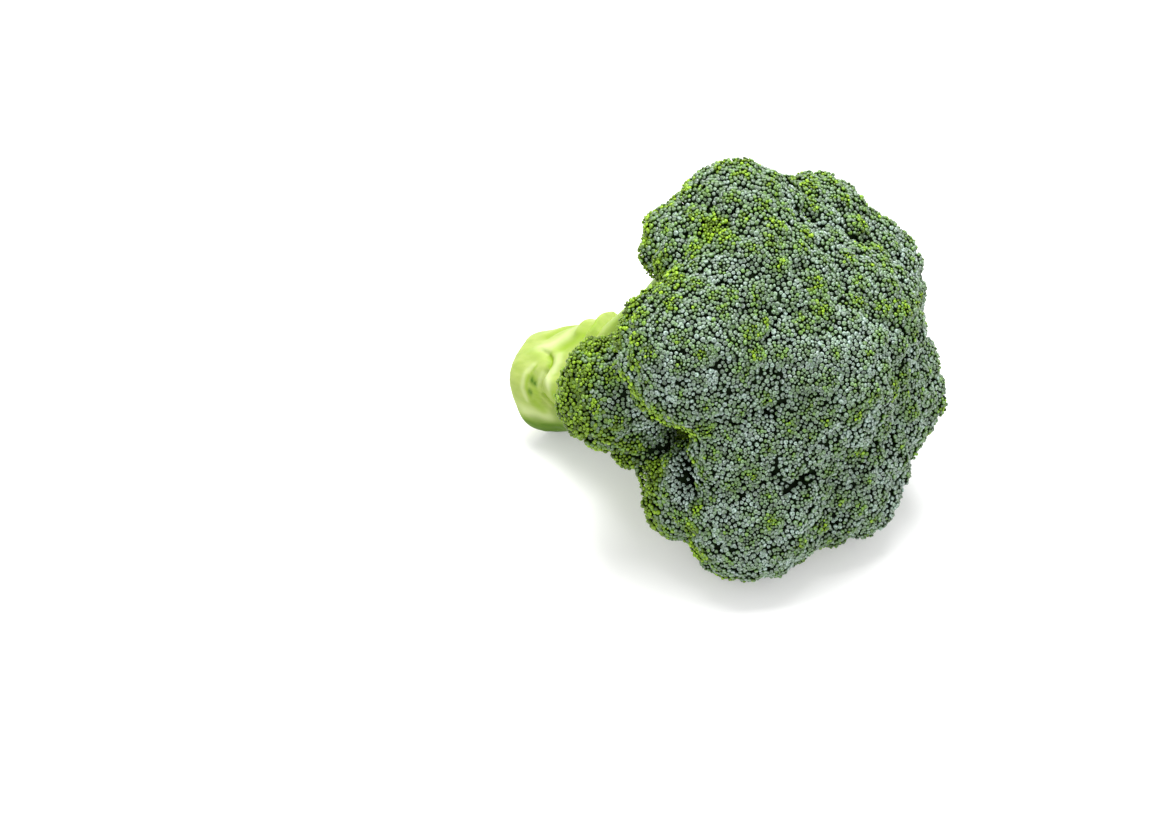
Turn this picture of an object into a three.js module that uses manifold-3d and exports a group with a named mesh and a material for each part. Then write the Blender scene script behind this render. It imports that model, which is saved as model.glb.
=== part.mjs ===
// A broccoli head lying on its side: a thick pale stalk that forks into branches, and on each
// branch a floret, a dome packed with clusters of flower buds. Millimetres, +Z up. +X runs
// along the stalk towards the crown, and z = 0 is the surface that the head rests on.

import * as THREE from "three";
import { ConvexHull } from "three/addons/math/ConvexHull.js";
import { mergeVertices } from "three/addons/utils/BufferGeometryUtils.js";
import Module from "manifold-3d";

// ---- Driving dimensions, in the plant's own frame: z runs up the stalk, z = 0 is the crown's rim
const STALK_LENGTH = 111.2; // from the cut end to the rim of the crown
const STALK_RADIUS = 19; // at the cut end
const UPPER_FORK = -50; // where the stalk divides into the upper branches
const LOWER_FORK = -76; // where the lowest branch leaves it
const BRANCH_RISE = 50; // how far a branch climbs from its fork to its floret
const STALK_LEAN = 22.8; // degrees that the lying stalk climbs towards the crown
const RIM_LIFT = 59.6; // height of the rim's centre above the surface that the head lies on

const CLUSTER_SPACING = 8.8; // from one bud cluster to the next
const CLUSTER_LIFT = 2.6; // how far a cluster stands out of its floret
const CLUSTER_SHOULDER = 0.64; // where a cluster turns over, as a share of its half width
const PLAIN_SPACING = 15; // facet size where a floret is hidden or bare
const TUFT_SPACING = 23; // between the larger swellings of a floret
const TUFT_RELIEF = 0.1; // height of a swelling, as a share of the floret's radius
const UNDERSIDE = 0.5; // depth of a floret below its centre, as a share of its radius
const CROWN_FILL = 0.88; // how far the dips between crowded florets are filled, 0 to 1
const FURROW_FILL = 0.4; // the same where a deep furrow is left
const GAP = 0.6; // clearance between neighbouring florets
const BRANCH_GAP = 0.35; // clearance between a floret and the stalk's branches
const REACH_OF_NEIGHBOURS = 8; // florets whose balls are further apart don't press together

// Each floret: degrees round the stalk (0 is down, 180 is up, -90 is the -Y side), distance from
// the stalk's axis, height over the rim, and radius.
const FLORETS = [
  { name: "floret_face_middle", turn: -123, reach: 11, rise: 25, radius: 26 },
  { name: "floret_face_far", turn: 125, reach: 17, rise: 26, radius: 24.5 },
  { name: "floret_face_top", turn: -170, reach: 41, rise: 9, radius: 24 },
  { name: "floret_face_low", turn: 48, reach: 35, rise: 20, radius: 22.5 },
  { name: "floret_inner_near", turn: -73, reach: 34, rise: 6, radius: 20 },
  { name: "floret_near", turn: -126, reach: 51, rise: 0.5, radius: 24 },
  { name: "floret_under_near", turn: -47, reach: 51, rise: -1, radius: 24.6 },
  { name: "floret_under_front", turn: -3, reach: 43.5, rise: 12.5, radius: 21.5 },
  { name: "floret_under_far", turn: 40, reach: 50, rise: -5, radius: 22 },
  { name: "floret_far", turn: 84, reach: 53, rise: -5, radius: 23 },
  { name: "floret_far_upper", turn: 108, reach: 46.5, rise: 14.5, radius: 22 },
  { name: "floret_top_far", turn: 134, reach: 54, rise: 8.5, radius: 18 },
  { name: "floret_top", turn: 174, reach: 57, rise: 0.5, radius: 20.5 },
  { name: "floret_top_back", turn: -171, reach: 55, rise: -10.3, radius: 17 },
  { name: "floret_back_upper", turn: 140, reach: 50, rise: -16, radius: 19 },
  { name: "floret_back_far", turn: 75, reach: 46, rise: -28, radius: 16.5 },
  { name: "floret_low_near", turn: -57, reach: 47.5, rise: -19.2, radius: 18.5 },
  { name: "floret_side_branch", turn: -110, reach: 48, rise: -36, radius: 19 },
  { name: "floret_side_inner", turn: -85, reach: 42, rise: -35, radius: 10.5 },
];

// Most florets crowd together into one crown. Between these, whose branches part low on the
// stalk, a deep furrow is left.
const FURROWS = [
  ["floret_near", "floret_low_near"],
  ["floret_near", "floret_top_back"],
  ["floret_face_top", "floret_top"],
  ["floret_face_top", "floret_top_back"],
  ["floret_top", "floret_top_far"],
  ["floret_top", "floret_back_upper"],
  ["floret_under_near", "floret_under_front"],
  ["floret_under_front", "floret_under_far"],
  ["floret_far", "floret_back_upper"],
  ["floret_far", "floret_back_far"],
];
// These grow low on the stalk, clear of the crown.
const SIDE_FLORETS = ["floret_side_branch", "floret_side_inner"];

const FLORET_GREEN = { color: "#55794f", roughness: 0.75, metalness: 0 };
const STALK_GREEN = { color: "#b9d67a", roughness: 0.5, metalness: 0 };

// ---- Small helpers
const radians = THREE.MathUtils.degToRad;
const UP = new THREE.Vector3(0, 0, 1);

// A repeatable stream of numbers from 0 to 1.
function seededRandom(seed) {
  let state = seed;
  return () => {
    state = (state + 0x6d2b79f5) | 0;
    let t = Math.imul(state ^ (state >>> 15), 1 | state);
    t = (t + Math.imul(t ^ (t >>> 7), 61 | t)) ^ t;
    return ((t ^ (t >>> 14)) >>> 0) / 4294967296;
  };
}

// The direction at a turn round the stalk's axis.
function outward(turn) {
  return new THREE.Vector3(Math.cos(radians(turn)), Math.sin(radians(turn)), 0);
}

// Directions about `spacing` apart on a ball of the given radius, in the golden-angle spiral in
// which buds grow, starting at `axis`. Each is nudged a little off its place.
function spiralDirections(radius, spacing, axis, jitter, random) {
  const count = Math.max(12, Math.round((4 * Math.PI * radius ** 2) / (spacing ** 2 * 0.87)));
  const goldenAngle = Math.PI * (3 - Math.sqrt(5));
  const turnToAxis = new THREE.Quaternion().setFromUnitVectors(UP, axis);
  const nudge = (jitter * spacing) / radius;
  return Array.from({ length: count }, (_, i) => {
    const z = 1 - (2 * i + 1) / count;
    const ring = Math.sqrt(1 - z * z);
    const angle = i * goldenAngle;
    return new THREE.Vector3(
      ring * Math.cos(angle) + nudge * (random() - 0.5),
      ring * Math.sin(angle) + nudge * (random() - 0.5),
      z + nudge * (random() - 0.5)
    ).normalize().applyQuaternion(turnToAxis);
  });
}

// ---- Florets
// Works out where a floret sits and grows: its centre, the fork that its branch leaves from, and
// the flat walls that part it from the florets it presses against.
function placeFlorets() {
  const placed = FLORETS.map((floret, index) => {
    const centre = outward(floret.turn).multiplyScalar(floret.reach).setZ(floret.rise);
    const height = THREE.MathUtils.clamp(floret.rise - BRANCH_RISE, LOWER_FORK, UPPER_FORK);
    const fork = new THREE.Vector3(0, 0, height);
    const axis = centre.clone().sub(fork).normalize();
    return { ...floret, index, centre, fork, axis };
  });
  for (const floret of placed) {
    floret.walls = [];
    for (const other of placed) {
      const span = other.centre.clone().sub(floret.centre);
      const distance = span.length();
      if (other === floret || distance > floret.radius + other.radius + REACH_OF_NEIGHBOURS) {
        continue;
      }
      const share = distance ** 2 + floret.radius ** 2 - other.radius ** 2;
      floret.walls.push({
        normal: span.divideScalar(distance),
        offset: share / (2 * distance) - GAP / 2,
        furrow: FURROWS.some((pair) => pair.includes(floret.name) && pair.includes(other.name)),
      });
    }
  }
  return placed;
}

// The swellings on a floret's dome, as directions from its centre.
function tuftDirections(floret) {
  const random = seededRandom(900 + floret.index);
  return spiralDirections(floret.radius, TUFT_SPACING, floret.axis, 0.5, random);
}

// A floret's own dome: a ball with low swellings on it.
function domeReach(floret, direction) {
  const nearest = Math.min(...floret.tufts.map((tuft) => tuft.angleTo(direction)));
  const halfTuft = TUFT_SPACING / 2 / floret.radius;
  const swelling = 1 - Math.min(1, (nearest / (1.25 * halfTuft)) ** 2);
  return floret.radius * (1 + TUFT_RELIEF * (swelling - 0.55));
}

// The crown's outline if a cloth were pulled taut over its florets, as flat faces.
function tautOutline(placed) {
  const points = placed
    .filter((floret) => !SIDE_FLORETS.includes(floret.name))
    .flatMap((floret) =>
      spiralDirections(floret.radius, 8, floret.axis, 0, () => 0.5).map((direction) =>
        direction.multiplyScalar(floret.radius).add(floret.centre)
      )
    );
  const hull = new ConvexHull().setFromPoints(points);
  return hull.faces.map((face) => ({ normal: face.normal, offset: face.constant }));
}

// How much further the dome reaches where florets crowd together and fill the dips between
// them, up to the taut outline.
function filledReach(floret, direction, dome) {
  const outwards = THREE.MathUtils.smoothstep(direction.dot(floret.axis), -0.1, 0.5);
  if (SIDE_FLORETS.includes(floret.name) || outwards === 0) return dome;
  let taut = Infinity;
  for (const face of floret.outline) {
    const towards = face.normal.dot(direction);
    if (towards > 0.05) taut = Math.min(taut, face.offset / towards);
  }
  let weights = 1e-6;
  let fill = CROWN_FILL * weights;
  for (const wall of floret.walls) {
    const towards = wall.normal.dot(direction);
    if (towards < 0.05) continue;
    const weight = Math.exp(-wall.offset / towards / 5);
    weights += weight;
    fill += weight * (wall.furrow ? FURROW_FILL : CROWN_FILL);
  }
  return dome + Math.max(0, taut - dome) * (fill / weights) * outwards;
}

// How far the floret's form reaches in a direction, before the walls to its neighbours: its
// filled-out dome, and a flat underside across the branch.
function freeReach(floret, direction) {
  const dome = filledReach(floret, direction, domeReach(floret, direction));
  const down = -direction.dot(floret.axis);
  if (down <= 0.02) return dome;
  const under = (UNDERSIDE * floret.radius) / down;
  return (dome ** -8 + under ** -8) ** (-1 / 8);
}

// How far the walls to its neighbours let it reach.
function wallReach(floret, direction) {
  let reach = Infinity;
  for (const wall of floret.walls) {
    const towards = wall.normal.dot(direction);
    if (towards > 0.01) reach = Math.min(reach, wall.offset / towards);
  }
  return reach;
}

// True where the floret shows its buds: not against a neighbour, and not underneath.
function showsBuds(floret, direction) {
  const facesOut = direction.dot(floret.axis) > -0.38;
  return facesOut && freeReach(floret, direction) < wallReach(floret, direction) + 1;
}

// The cells of a floret's surface: for each site, the corners round it. The corners are the
// centres of the triangles that join neighbouring sites on the unit ball.
function surfaceCells(sites) {
  const hull = new ConvexHull().setFromPoints(sites);
  const corners = hull.faces.map((face) => face.normal.clone());
  const nextCorner = new Map(sites.map((site) => [site, new Map()]));
  hull.faces.forEach((face, corner) => {
    const points = [face.edge, face.edge.next, face.edge.prev].map((edge) => edge.head().point);
    points.forEach((point, i) => {
      nextCorner.get(point).set(points[(i + 1) % 3], { corner, to: points[(i + 2) % 3] });
    });
  });
  const rings = sites.map((site) => {
    const links = nextCorner.get(site);
    const first = links.keys().next().value;
    const ring = [];
    let at = first;
    do {
      const link = links.get(at);
      ring.push(link.corner);
      at = link.to;
    } while (at !== first);
    return ring;
  });
  return { corners, rings };
}

// The floret as one closed faceted surface about its centre. A cell that shows buds rises to a
// rounded cluster with a shoulder and a tip; the others stay plain. `grow` swells it all round.
function floretGeometry(floret, grow) {
  const random = seededRandom(100 + floret.index);
  const pick = (spacing, jitter, wanted) =>
    spiralDirections(floret.radius, spacing, floret.axis, jitter, random).filter(
      (direction) => showsBuds(floret, direction) === wanted
    );
  const clusters = pick(CLUSTER_SPACING, 0.3, true);
  const sites = [...clusters, ...pick(PLAIN_SPACING, 0, false)];
  const { corners, rings } = surfaceCells(sites);

  const positions = [];
  const indices = [];
  const addPoint = (direction, lift) => {
    const reach = Math.min(freeReach(floret, direction) + lift, wallReach(floret, direction));
    positions.push(...direction.clone().multiplyScalar(reach + grow).toArray());
    return positions.length / 3 - 1;
  };
  const cornerPoints = corners.map((corner) => addPoint(corner, 0));
  sites.forEach((site, i) => {
    const ring = rings[i];
    const lift = i < clusters.length ? CLUSTER_LIFT * (0.85 + 0.3 * random()) : 0;
    const tip = addPoint(site, lift);
    const shoulder = ring.map((corner) => {
      if (lift === 0) return cornerPoints[corner];
      const direction = site.clone().lerp(corners[corner], CLUSTER_SHOULDER).normalize();
      return addPoint(direction, lift * 0.74);
    });
    ring.forEach((corner, j) => {
      const k = (j + 1) % ring.length;
      indices.push(tip, shoulder[j], shoulder[k]);
      if (lift === 0) return;
      indices.push(shoulder[j], cornerPoints[corner], cornerPoints[ring[k]]);
      indices.push(shoulder[j], cornerPoints[ring[k]], shoulder[k]);
    });
  });
  const geometry = new THREE.BufferGeometry();
  geometry.setAttribute("position", new THREE.Float32BufferAttribute(positions, 3));
  geometry.setIndex(indices);
  return geometry;
}

// ---- Solids
const wasm = await Module();
wasm.setup();

// A closed geometry, moved by `offset`, as a solid that can be joined and cut.
function toSolid(geometry, offset = new THREE.Vector3()) {
  const bare = geometry.clone().translate(offset.x, offset.y, offset.z);
  bare.deleteAttribute("normal");
  bare.deleteAttribute("uv");
  const merged = mergeVertices(bare, 1e-4);
  return new wasm.Manifold(new wasm.Mesh({
    numProp: 3,
    vertProperties: new Float32Array(merged.attributes.position.array),
    triVerts: new Uint32Array(merged.index.array),
  }));
}

// A solid as a faceted geometry.
function toGeometry(solid) {
  const mesh = solid.getMesh();
  const geometry = new THREE.BufferGeometry();
  geometry.setAttribute("position", new THREE.BufferAttribute(mesh.vertProperties, 3));
  geometry.setIndex(new THREE.BufferAttribute(mesh.triVerts, 1));
  const faceted = geometry.toNonIndexed();
  faceted.computeVertexNormals();
  return faceted;
}

// Presses a solid flat where it would sink into the surface that the head rests on.
function restOnSurface(solid) {
  const lean = radians(STALK_LEAN);
  return solid.trimByPlane([-Math.cos(lean), 0, Math.sin(lean)], -RIM_LIFT);
}

// ---- Stalk
// Leaf scars: where a leaf was cut off, its base leaves a low cushion with a flat cut face.
const LEAF_SCARS = [
  { turn: -115, height: -98, halfWidth: 13, halfHeight: 7 },
  { turn: 156, height: -89, halfWidth: 8, halfHeight: 9 },
  { turn: 162, height: -78, halfWidth: 11, halfHeight: 3.5 },
  { turn: 62, height: -96, halfWidth: 13, halfHeight: 7 },
  { turn: -30, height: -84, halfWidth: 12, halfHeight: 6 },
  { turn: 108, height: -76, halfWidth: 11, halfHeight: 5 },
];
const SCAR_LIFT = 3.2; // how far a leaf base stands out of the stalk
const STALK_SIDES = 32;
const STALK_RINGS = 18;
const STALK_TOP = -48; // the stalk closes among its branches here

// The stalk's radius up its length: a slight waist above the cut end, then a flare to the fork.
const stalkProfile = new THREE.SplineCurve([
  new THREE.Vector2(-STALK_LENGTH, STALK_RADIUS),
  new THREE.Vector2(-106, STALK_RADIUS + 0.8),
  new THREE.Vector2(-92, STALK_RADIUS + 0.6),
  new THREE.Vector2(-80, STALK_RADIUS + 2.5),
  new THREE.Vector2(-68, STALK_RADIUS + 3),
  new THREE.Vector2(-57, STALK_RADIUS - 2),
  new THREE.Vector2(STALK_TOP, STALK_RADIUS - 12),
]);

// The stalk's surface at a turn and height: faintly six-sided, with a cushion under each scar.
function stalkRadius(turn, height, plain) {
  const ribs = 0.35 * Math.cos(radians(6 * turn + 40)) + 0.3 * Math.cos(radians(3 * turn - 25));
  let radius = plain + ribs;
  for (const scar of LEAF_SCARS) {
    const aside = (((turn - scar.turn + 540) % 360) - 180) * radians(plain);
    const above = height - scar.height;
    const across = aside / scar.halfWidth;
    const along = above / scar.halfHeight;
    const cushion = plain + ribs + SCAR_LIFT * Math.exp(-(across ** 2) - along ** 2);
    const cutFace = plain + 1.5 - 0.06 * above - 0.012 * aside ** 2;
    radius = Math.max(radius, Math.min(cushion, Math.max(cutFace, plain + ribs)));
  }
  return radius;
}

function stalkBodyGeometry() {
  const positions = [];
  const indices = [];
  for (let ring = 0; ring <= STALK_RINGS; ring += 1) {
    const { x: height, y: plain } = stalkProfile.getPoint(ring / STALK_RINGS);
    for (let side = 0; side < STALK_SIDES; side += 1) {
      const turn = (360 * side) / STALK_SIDES;
      const radius = stalkRadius(turn, height, plain);
      positions.push(...outward(turn).multiplyScalar(radius).setZ(height).toArray());
    }
  }
  const bottomCentre = positions.length / 3;
  positions.push(0, 0, -STALK_LENGTH, 0, 0, STALK_TOP);
  const topCentre = bottomCentre + 1;
  for (let side = 0; side < STALK_SIDES; side += 1) {
    const next = (side + 1) % STALK_SIDES;
    const top = STALK_RINGS * STALK_SIDES;
    indices.push(bottomCentre, next, side, topCentre, top + side, top + next);
    for (let ring = 0; ring < STALK_RINGS; ring += 1) {
      const low = ring * STALK_SIDES;
      const high = low + STALK_SIDES;
      indices.push(low + side, low + next, high + next);
      indices.push(low + side, high + next, high + side);
    }
  }
  const geometry = new THREE.BufferGeometry();
  geometry.setAttribute("position", new THREE.Float32BufferAttribute(positions, 3));
  geometry.setIndex(indices);
  return geometry;
}

// A branch from inside the stalk to the underside of its floret. It leaves along the stalk,
// bends outwards, meets the underside squarely, and flares where it splits into the bud stems.
const BRANCH_SIDES = 8;
const BRANCH_STEPS = 5;
const BRANCH_START_DEPTH = 24; // how far below its fork a branch starts, inside the stalk
const BRANCH_START_ASIDE = 8; // how far off the stalk's axis it starts
const BRANCH_ROOT = 0.46; // radius inside the stalk, as a share of its floret's
const BRANCH_SLIM = 0.33; // radius at its slimmest
const BRANCH_FLARE = 0.56; // radius at the underside

function branchGeometry(floret) {
  const aside = outward(floret.turn);
  const start = floret.fork.clone()
    .addScaledVector(aside, BRANCH_START_ASIDE)
    .addScaledVector(UP, -BRANCH_START_DEPTH);
  const depth = UNDERSIDE * floret.radius + BRANCH_GAP + 0.15;
  const end = floret.centre.clone().addScaledVector(floret.axis, -depth);
  const path = new THREE.CubicBezierCurve3(
    start,
    start.clone().addScaledVector(UP, 18).addScaledVector(aside, 10),
    end.clone().addScaledVector(floret.axis, -0.6 * floret.radius),
    end
  );
  const positions = [];
  const indices = [];
  for (let step = 0; step <= BRANCH_STEPS; step += 1) {
    const t = step / BRANCH_STEPS;
    const centre = path.getPoint(t);
    const turnToPath = new THREE.Quaternion().setFromUnitVectors(UP, path.getTangent(t));
    const root = (BRANCH_ROOT - BRANCH_SLIM) * (1 - t) ** 2;
    const flare = (BRANCH_FLARE - BRANCH_SLIM) * t ** 4;
    const radius = (BRANCH_SLIM + root + flare) * floret.radius;
    for (let side = 0; side < BRANCH_SIDES; side += 1) {
      const spoke = outward((360 * side) / BRANCH_SIDES).multiplyScalar(radius);
      positions.push(...spoke.applyQuaternion(turnToPath).add(centre).toArray());
    }
  }
  const startCentre = positions.length / 3;
  positions.push(...start.toArray(), ...end.toArray());
  for (let side = 0; side < BRANCH_SIDES; side += 1) {
    const next = (side + 1) % BRANCH_SIDES;
    const last = BRANCH_STEPS * BRANCH_SIDES;
    indices.push(startCentre, next, side, startCentre + 1, last + side, last + next);
    for (let step = 0; step < BRANCH_STEPS; step += 1) {
      const low = step * BRANCH_SIDES;
      const high = low + BRANCH_SIDES;
      indices.push(low + side, low + next, high + next);
      indices.push(low + side, high + next, high + side);
    }
  }
  const geometry = new THREE.BufferGeometry();
  geometry.setAttribute("position", new THREE.Float32BufferAttribute(positions, 3));
  geometry.setIndex(indices);
  return geometry;
}

// ---- Assembly
const plant = new THREE.Group();
plant.rotation.y = radians(90 - STALK_LEAN);
plant.position.z = RIM_LIFT;

const florets = placeFlorets();
const outline = tautOutline(florets);
for (const floret of florets) {
  floret.tufts = tuftDirections(floret);
  floret.outline = outline.map((face) => ({
    normal: face.normal,
    offset: face.offset - face.normal.dot(floret.centre),
  }));
}

let stalkSolid = toSolid(stalkBodyGeometry());
for (const floret of florets) {
  stalkSolid = stalkSolid.add(toSolid(branchGeometry(floret)));
}
for (const floret of florets) {
  stalkSolid = stalkSolid.subtract(toSolid(floretGeometry(floret, BRANCH_GAP), floret.centre));
}
const stalk = new THREE.Mesh(
  toGeometry(restOnSurface(stalkSolid)),
  new THREE.MeshStandardMaterial({ ...STALK_GREEN, flatShading: true })
);
stalk.name = "stalk";
plant.add(stalk);

for (const floret of florets) {
  const solid = restOnSurface(toSolid(floretGeometry(floret, 0), floret.centre));
  const mesh = new THREE.Mesh(
    toGeometry(solid.translate(floret.centre.clone().negate().toArray())),
    new THREE.MeshStandardMaterial({ ...FLORET_GREEN, flatShading: true })
  );
  mesh.name = floret.name;
  mesh.position.copy(floret.centre);
  plant.add(mesh);
}

// The origin is under the middle of the head, on the surface that it rests on.
const broccoli = new THREE.Group();
broccoli.add(plant);
const extent = new THREE.Box3().setFromObject(broccoli, true);
const middle = extent.getCenter(new THREE.Vector3());
plant.position.x -= middle.x;
plant.position.y -= middle.y;
plant.position.z -= extent.min.z;

export default broccoli;
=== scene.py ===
# %% [markdown]
# # A broccoli head, lying on its side
#
# A broccoli head is a thick stalk that forks into branches. Each branch ends in a floret, and a
# floret is a dome of flower buds that have not opened yet, packed in small rosettes. This file
# dresses the plain solids of the CAD model: a smooth stalk with its leaf scars, the fine bud
# stems under each floret, and thousands of single buds. Lengths are in metres, as in the CAD
# model, so the first cell defines a millimetre to write them with. A size that stands by
# itself, as a plain number, is in millimetres and becomes metres where it is used.

import math
import random

import bpy
from mathutils import Matrix, Quaternion, Vector
from mathutils.bvhtree import BVHTree
from mathutils.kdtree import KDTree
from mathutils.noise import noise


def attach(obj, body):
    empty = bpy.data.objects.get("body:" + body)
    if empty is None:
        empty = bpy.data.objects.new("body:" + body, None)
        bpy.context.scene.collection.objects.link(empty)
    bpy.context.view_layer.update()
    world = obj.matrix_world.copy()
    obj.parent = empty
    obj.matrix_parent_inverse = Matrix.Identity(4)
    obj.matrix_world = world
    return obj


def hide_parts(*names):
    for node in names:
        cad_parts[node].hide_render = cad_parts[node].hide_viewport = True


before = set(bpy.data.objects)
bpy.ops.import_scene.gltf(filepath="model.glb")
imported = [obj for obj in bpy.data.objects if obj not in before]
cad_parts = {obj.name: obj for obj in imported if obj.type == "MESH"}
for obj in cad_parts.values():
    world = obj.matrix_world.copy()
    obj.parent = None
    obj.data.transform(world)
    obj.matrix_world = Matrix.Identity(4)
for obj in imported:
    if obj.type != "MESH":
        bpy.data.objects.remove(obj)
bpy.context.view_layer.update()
MM = 0.001
print("solids:", len(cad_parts))

# %% [markdown]
# ## Where things are on the plant
#
# It is easier to place things on a plant from its own stalk than from the table that it lies
# on. So we measure from the middle of the crown's rim: a turn round the stalk (0 degrees is
# the side that faces down), a reach away from its axis, and a rise towards the crown. The head
# lies with its stalk climbing a little towards the crown, because the crown is the thicker.

# %% The plant's own directions
LEAN = math.radians(22.8)
RIM = Vector((28.78, -5.34, 59.6)) * MM
GROWTH = Vector((math.cos(LEAN), 0, math.sin(LEAN)))
UNDERNEATH = Vector((math.sin(LEAN), 0, -math.cos(LEAN)))
FAR_SIDE = Vector((0, 1, 0))


def aside(turn):
    """The direction at a turn round the stalk, in degrees."""
    return UNDERNEATH * math.cos(math.radians(turn)) + FAR_SIDE * math.sin(math.radians(turn))


def on_plant(turn, reach, rise):
    """A point from its turn in degrees, and its reach and rise in millimetres."""
    return RIM + aside(turn) * reach * MM + GROWTH * rise * MM


def plant_place(point):
    """The turn in degrees, and the reach and rise in millimetres, of a point."""
    offset = (point - RIM) / MM
    under, far = offset.dot(UNDERNEATH), offset.dot(FAR_SIDE)
    return math.degrees(math.atan2(far, under)), math.hypot(under, far), offset.dot(GROWTH)


def near(value, width):
    """A smooth bump: 1 at zero, falling to nothing about twice the width away."""
    return math.exp(-((value / width) ** 2))


def progress(value, start, end):
    """How far a value has come from a start to an end: 0 before it, 1 past it."""
    return max(0, min(1, (value - start) / (end - start)))


print("cut end of the stalk at", [round(v / MM) for v in on_plant(0, 0, -110)], "mm")

# %% [markdown]
# ## Camera, floor and light
#
# A long lens from about a metre away keeps the perspective flat, as in a picture for a shop.
# The floor is a plain white sheet. Produce looks fresh in wide, soft light, so one large soft
# box hangs overhead, a second one fills in from the front, and the bright surroundings do the
# rest. Overhead light also puts a highlight on top of every bud, which shows how round it is.

# %% Camera
AZIMUTH, ELEVATION = math.radians(33), math.radians(35)
CAMERA_DISTANCE = 1.179  # in metres
LENS, FRAME_WIDTH = 100, 36  # in millimetres, as lenses are sold
AIM_LEFT, AIM_DOWN = 69.65 * MM, 17.46 * MM  # so that the head sits a little to the right
to_camera = Vector((
    math.sin(AZIMUTH) * math.cos(ELEVATION),
    -math.cos(AZIMUTH) * math.cos(ELEVATION),
    math.sin(ELEVATION),
))
camera_right = Vector((math.cos(AZIMUTH), math.sin(AZIMUTH), 0))
camera_up = to_camera.cross(camera_right)
look_at = RIM - camera_right * AIM_LEFT - camera_up * AIM_DOWN
camera_turn = Matrix((camera_right, camera_up, to_camera)).transposed().to_euler()
bpy.ops.object.camera_add(location=look_at + to_camera * CAMERA_DISTANCE, rotation=camera_turn)
camera = bpy.context.object
camera.name = "camera"
camera.data.lens = LENS
camera.data.sensor_width = FRAME_WIDTH
camera.data.clip_start = 0.05
bpy.context.scene.camera = camera
print("camera at", [round(v, 3) for v in camera.location])

# %% Floor and lights
SURROUNDINGS = 0.9  # how bright the white room is, beside the lamps

bpy.ops.mesh.primitive_plane_add(size=8, location=(0, 0, 0))
floor = bpy.context.object
floor.name = "floor"


def soft_box(name, place, size, power):
    """A square soft box that faces the middle of the head."""
    bpy.ops.object.light_add(type="AREA", location=place)
    lamp = bpy.context.object
    lamp.name = name
    lamp.data.shape = "SQUARE"
    lamp.data.size = size
    lamp.data.energy = power
    lamp.rotation_euler = (RIM - Vector(place)).to_track_quat("-Z", "Y").to_euler()


soft_box("overhead soft box", (-0.17, 0.22, 1.32), 0.9, 33)
soft_box("front fill", (0.9, -1.3, 0.9), 0.9, 8)
world = bpy.data.worlds.new("bright studio")
world.use_nodes = True
world.node_tree.nodes["Background"].inputs["Color"].default_value = (1, 1, 1, 1)
world.node_tree.nodes["Background"].inputs["Strength"].default_value = SURROUNDINGS
bpy.context.scene.world = world
bpy.context.scene.view_settings.view_transform = "Standard"

# %% [markdown]
# ## Colours and nodes
#
# Colours are written as the hex values that a painting program shows. Blender's shaders work
# in linear light, so one function converts them. Another adds a shader node, fills in its
# settings, its colour stops and its links, and hands back the output that is wanted, which
# keeps each material short enough to read.

# %% Helpers for materials
PLANT_IOR = 1.4  # plant tissue is mostly water, and its wax is not far off
MIX = {"data_type": "RGBA"}
MULTIPLY = {"data_type": "RGBA", "blend_type": "MULTIPLY"}


def linear(hex_colour):
    """An sRGB hex colour as linear red, green, blue and alpha."""
    channels = [int(hex_colour[i : i + 2], 16) / 255 for i in (1, 3, 5)]
    return (*(c / 12.92 if c <= 0.04045 else ((c + 0.055) / 1.055) ** 2.4 for c in channels), 1)


def add_node(material, kind, output, settings=None, stops=(), **inputs):
    """Adds a node and returns one of its outputs.

    An input is a number, a colour, or another node's output to link. It goes by its name, or
    by its number after an underscore. Stops are a colour ramp's places and hex colours.
    """
    node = material.node_tree.nodes.new(kind)
    for name, value in (settings or {}).items():
        setattr(node, name, value)
    if stops:
        elements = node.color_ramp.elements
        while len(elements) < len(stops):
            elements.new(0.5)
        for element, (place, colour) in zip(elements, stops):
            element.position, element.color = place, linear(colour)
    for key, value in inputs.items():
        socket = node.inputs[int(key[1:]) if key[0] == "_" else key]
        if isinstance(value, bpy.types.NodeSocket):
            material.node_tree.links.new(value, socket)
        else:
            socket.default_value = value
    return node.outputs[output]


def new_material(name, roughness):
    """An empty material and its main shader."""
    material = bpy.data.materials.new(name)
    material.use_nodes = True
    shader = material.node_tree.nodes["Principled BSDF"]
    shader.inputs["Roughness"].default_value = roughness
    shader.inputs["IOR"].default_value = PLANT_IOR
    return material, shader


print("mid green in linear light:", [round(c, 3) for c in linear("#5d7f4a")])

# %% [markdown]
# ## What the surfaces are
#
# ** Flower buds** are closed sepals, green inside and covered with a thin wax that gives older
# buds their blue-grey bloom. Each bud carries four marks in a colour attribute, painted when it
# is placed: how ripe it is, a tone of its own that is darker low on the head as painted shade,
# how high on the bud a point lies, and whether it lies in a seam between sepals. The material
# turns the marks into yellow-green young buds, grey-green ripe ones, a pale shoulder that is
# partly wax and partly painted highlight, painted shade towards each bud's foot, and the dark
# star where the sepals meet.

# %% Flower bud material
bud_skin, shader = new_material("waxy flower buds", roughness=0.3)
marks = add_node(bud_skin, "ShaderNodeAttribute", "Color", {"attribute_name": "bud_marks"})
seam = marks.node.outputs["Alpha"]
parts = add_node(bud_skin, "ShaderNodeSeparateColor", 0, Color=marks).node.outputs
ripeness, tone, height = parts[0], parts[1], parts[2]
green = add_node(bud_skin, "ShaderNodeValToRGB", "Color", Fac=ripeness, stops=[
    (0.0, "#9cc42c"), (0.18, "#76a326"), (0.42, "#587e2c"), (0.7, "#5c7e4e"), (1.0, "#829d98"),
])
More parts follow.
